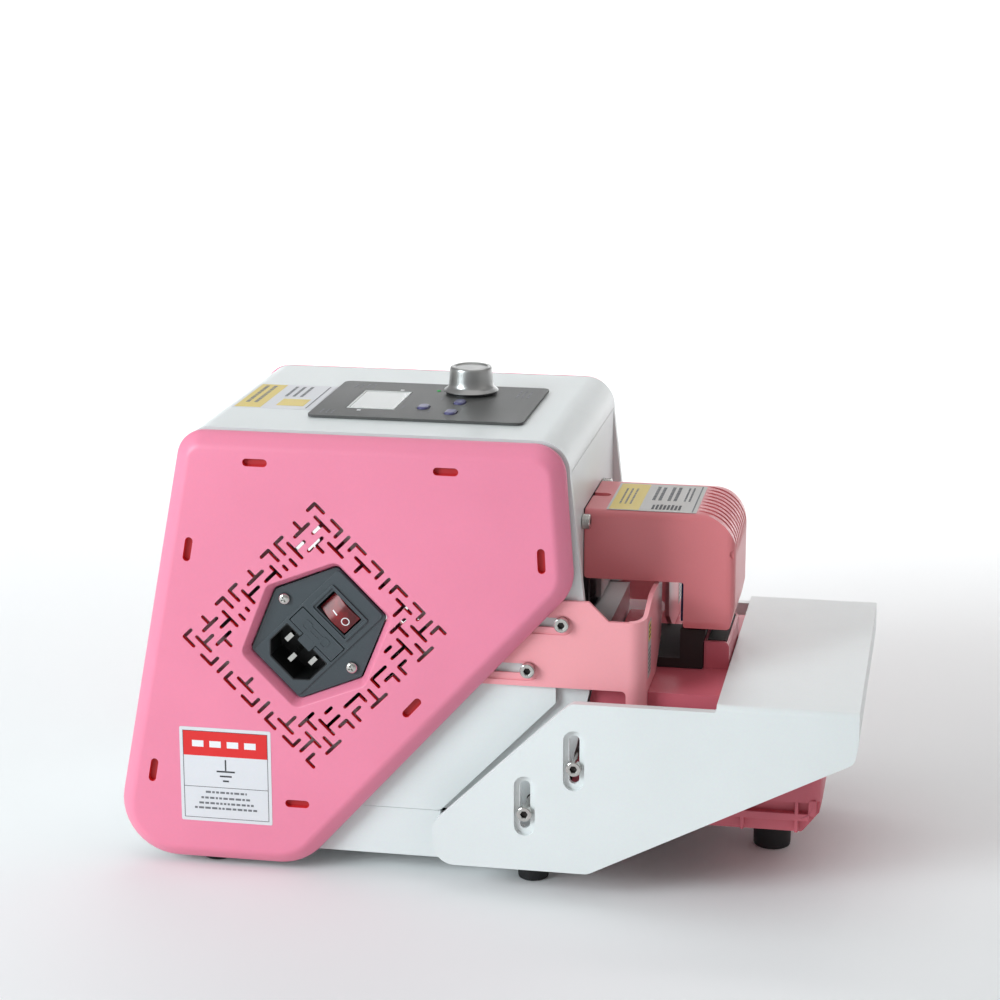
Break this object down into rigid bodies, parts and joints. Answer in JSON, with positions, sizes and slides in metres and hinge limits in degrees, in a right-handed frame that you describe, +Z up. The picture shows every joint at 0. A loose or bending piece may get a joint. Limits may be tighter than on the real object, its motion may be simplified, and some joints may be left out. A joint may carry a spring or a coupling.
{
  "type": "electric die cutting press",
  "caption": "Electric table-top die cutting press with an arm over a die, a height-adjustable table, sliding back gauges, side covers, a knob and keys on top and a mains inlet.",
  "frame": {"origin": "on the floor under the middle of the bounding box", "axes": "+X to the front, along the table; +Y to the right-hand side; +Z up"},
  "size_m": [0.312, 0.16, 0.2054],
  "materials": {
    "white_plastic": "satin moulded ABS with a fine grain",
    "pink_plastic": "satin moulded ABS with a fine grain",
    "salmon_plastic": "satin moulded ABS with a fine grain",
    "slate_plastic": "fine matt moulded thermoplastic",
    "black_plastic": "matt moulded nylon",
    "panel_film": "printed polycarbonate overlay",
    "screen": "unlit liquid crystal display behind a clear film",
    "violet_key": "soft violet key cap",
    "red_rocker": "translucent red polycarbonate",
    "turned_aluminium": "satin turned",
    "screw_steel": "bright zinc and nickel plated",
    "frame_steel": "laser-cut plate, zinc plated",
    "dark_steel": "dark blue-black oxide",
    "copper_winding": "varnished copper wire",
    "circuit_board": "green solder mask",
    "foot_rubber": "matt black rubber"
  },
  "bodies": {
    "root": {"base_pan": "white_plastic", "case_shell": "white_plastic", "front_chassis": "white_plastic", "front_panel": "white_plastic", "left_cover": "pink_plastic", "right_cover": "pink_plastic", "inlet_housing": "slate_plastic", "earth_pin": "frame_steel", "live_pin": "frame_steel", "neutral_pin": "frame_steel", "inlet_screw_1": "screw_steel", "inlet_screw_2": "screw_steel", "arm_cover": "salmon_plastic", "frame_plate_right": "frame_steel", "frame_plate_left": "frame_steel", "head_back_plate": "dark_steel", "ram_guide": "frame_steel", "return_spring": "screw_steel", "pivot_shaft": "screw_steel", "lever_spacer_right": "turned_aluminium", "lever_spacer_left": "turned_aluminium", "solenoid_yoke": "frame_steel", "solenoid_coil": "copper_winding", "bed_housing": "pink_plastic", "anvil_post": "frame_steel", "die_insert": "frame_steel", "throat_block": "black_plastic", "control_panel": "panel_film", "display": "screen", "control_board": "circuit_board", "power_board": "circuit_board", "arm_screw_1": "screw_steel", "arm_screw_2": "screw_steel", "front_foot": "foot_rubber", "gauge_screw_left_1": "screw_steel", "table_screw_left_1": "screw_steel", "gauge_screw_left_2": "screw_steel", "table_screw_left_2": "screw_steel", "rear_foot_left": "foot_rubber", "middle_foot_left": "foot_rubber", "gauge_screw_right_1": "screw_steel", "table_screw_right_1": "screw_steel", "gauge_screw_right_2": "screw_steel", "table_screw_right_2": "screw_steel", "rear_foot_right": "foot_rubber", "middle_foot_right": "foot_rubber"},
    "table": {"table": "white_plastic"},
    "left_gauge": {"left_gauge": "salmon_plastic"},
    "right_gauge": {"right_gauge": "salmon_plastic"},
    "knob": {"knob": "turned_aluminium"},
    "button_1": {"button_1": "violet_key"},
    "button_2": {"button_2": "violet_key"},
    "button_3": {"button_3": "violet_key"},
    "rocker": {"rocker_switch": "red_rocker"},
    "fuse_drawer": {"fuse_drawer": "slate_plastic"},
    "ram": {"ram": "frame_steel", "punch_blade": "screw_steel"},
    "lever": {"rocker_lever": "frame_steel"},
    "plunger": {"solenoid_plunger": "frame_steel"}
  },
  "joints": [
    {"name": "table_height", "type": "slide", "parent": "root", "child": "table", "axis": [0, 0, 1], "range_m": [-0.011, 0.005]},
    {"name": "left_gauge_slide", "type": "slide", "parent": "root", "child": "left_gauge", "axis": [1, 0, 0], "range_m": [0, 0.0088]},
    {"name": "right_gauge_slide", "type": "slide", "parent": "root", "child": "right_gauge", "axis": [1, 0, 0], "range_m": [0, 0.0088]},
    {"name": "knob_turn", "type": "hinge", "parent": "root", "child": "knob", "pos_m": [-0.0197, 0.0143, 0.194], "axis": [0, 0, 1], "range_deg": [-150, 150]},
    {"name": "button_1_press", "type": "slide", "parent": "root", "child": "button_1", "axis": [0, 0, -1], "range_m": [0, 0.0008], "stiffness_N_per_m": 800, "springref_m": -0.0006},
    {"name": "button_2_press", "type": "slide", "parent": "root", "child": "button_2", "axis": [0, 0, -1], "range_m": [0, 0.0008], "stiffness_N_per_m": 800, "springref_m": -0.0006},
    {"name": "button_3_press", "type": "slide", "parent": "root", "child": "button_3", "axis": [0, 0, -1], "range_m": [0, 0.0008], "stiffness_N_per_m": 800, "springref_m": -0.0006},
    {"name": "rocker_flip", "type": "hinge", "parent": "root", "child": "rocker", "pos_m": [-0.068, -0.0696, 0.1074], "axis": [0.7071, 0, 0.7071], "range_deg": [0, 16]},
    {"name": "fuse_drawer_slide", "type": "slide", "parent": "root", "child": "fuse_drawer", "axis": [0, -1, 0], "range_m": [0, 0.016]},
    {"name": "ram_slide", "type": "slide", "parent": "root", "child": "ram", "axis": [0, 0, -1], "range_m": [0, 0.005], "stiffness_N_per_m": 900, "springref_m": -0.008, "deforming": ["return_spring"]},
    {"name": "lever_swing", "type": "hinge", "parent": "root", "child": "lever", "pos_m": [0.05, 0, 0.139], "axis": [0, 1, 0], "range_deg": [0, 6.75]},
    {"name": "plunger_slide", "type": "slide", "parent": "root", "child": "plunger", "axis": [0, 0, 1], "range_m": [0, 0.0071]}
  ],
  "couplings": [
    {"joint": "lever_swing", "follows": "ram_slide", "rad_per_m": 23.529},
    {"joint": "plunger_slide", "follows": "ram_slide", "ratio": 1.4118}
  ]
}
